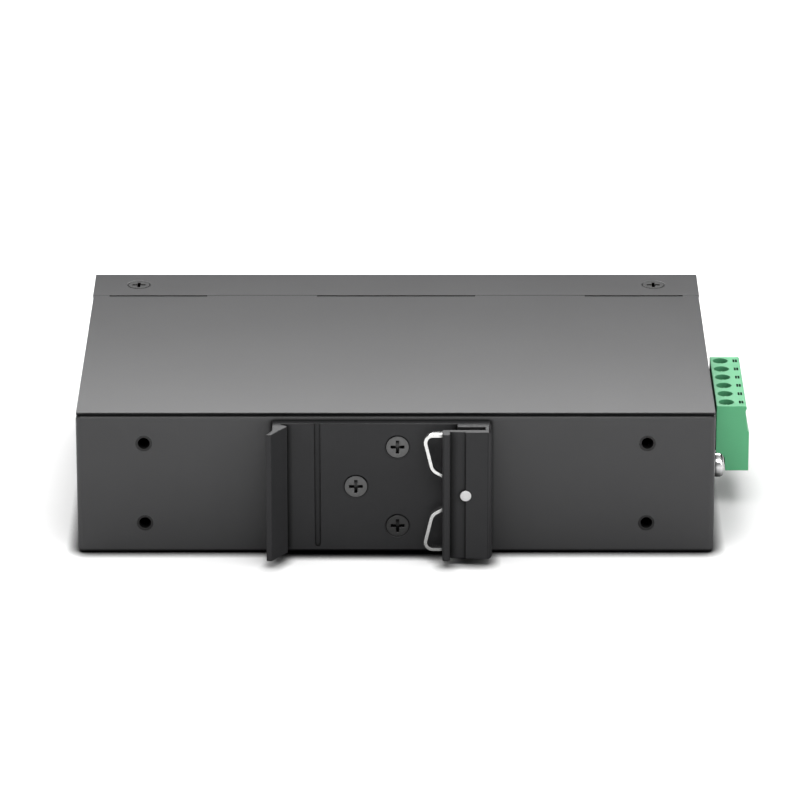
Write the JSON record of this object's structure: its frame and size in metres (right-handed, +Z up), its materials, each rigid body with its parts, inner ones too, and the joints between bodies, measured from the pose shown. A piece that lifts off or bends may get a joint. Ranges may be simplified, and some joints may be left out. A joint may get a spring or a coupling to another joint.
{
  "type": "ethernet media converter",
  "caption": "Slim folded-steel media converter with a rail clip on its rear, a pull-off green terminal on one end, and copper and fibre ports on its front.",
  "frame": {"origin": "middle of the face the case rests on", "axes": "+X along the case towards the terminal end, +Y from the rail clip towards the port side, +Z up from the resting face"},
  "size_m": [0.1436, 0.0964, 0.032],
  "materials": {
    "case_paint": "fine powder coat, dark grey",
    "black_steel": "blackened, satin",
    "clip_anodise": "black anodised, satin",
    "bright_steel": "bright",
    "rivet_alloy": "plain",
    "nickel": "nickel plated",
    "board_laminate": "solder mask",
    "zinc_steel": "zinc plated",
    "terminal_green": "moulded, satin",
    "contact_brass": "tinned",
    "port_shell": "plated sheet",
    "black_moulding": "moulded",
    "light_clear": "clear",
    "led_body": "moulded",
    "chip_black": "moulded",
    "ferrite": "sintered",
    "capacitor_can": "drawn",
    "relay_case": "moulded"
  },
  "bodies": {
    "case": {"chassis": "case_paint", "lid": "case_paint", "front_panel": "case_paint", "flange_screws": "black_steel", "clinch_nuts": "black_steel", "rail_clip": "clip_anodise", "clip_screws": "black_steel", "clip_spring": "bright_steel", "clip_rivet": "rivet_alloy", "ground_washer": "nickel", "ground_screw": "nickel", "circuit_board": "board_laminate", "board_standoffs": "zinc_steel", "board_screws": "zinc_steel", "terminal_header": "terminal_green", "header_pins": "contact_brass", "jack_shield": "port_shell", "jack_insert": "black_moulding", "jack_contacts": "contact_brass", "sfp_cage": "port_shell", "sfp_connector": "black_moulding", "light_pipe": "light_clear", "status_leds": "led_body", "main_chip": "chip_black", "network_transformer": "chip_black", "power_inductor": "ferrite", "capacitors": "capacitor_can", "alarm_relay": "relay_case", "crystal": "zinc_steel"},
    "plug": {"terminal_plug": "terminal_green", "plug_contacts": "contact_brass", "plug_clamps": "zinc_steel", "plug_screws": "zinc_steel"}
  },
  "joints": [
    {"name": "plug_pull", "type": "slide", "parent": "case", "child": "plug", "axis": [1, 0, 0], "range_m": [0, 0.009]}
  ]
}
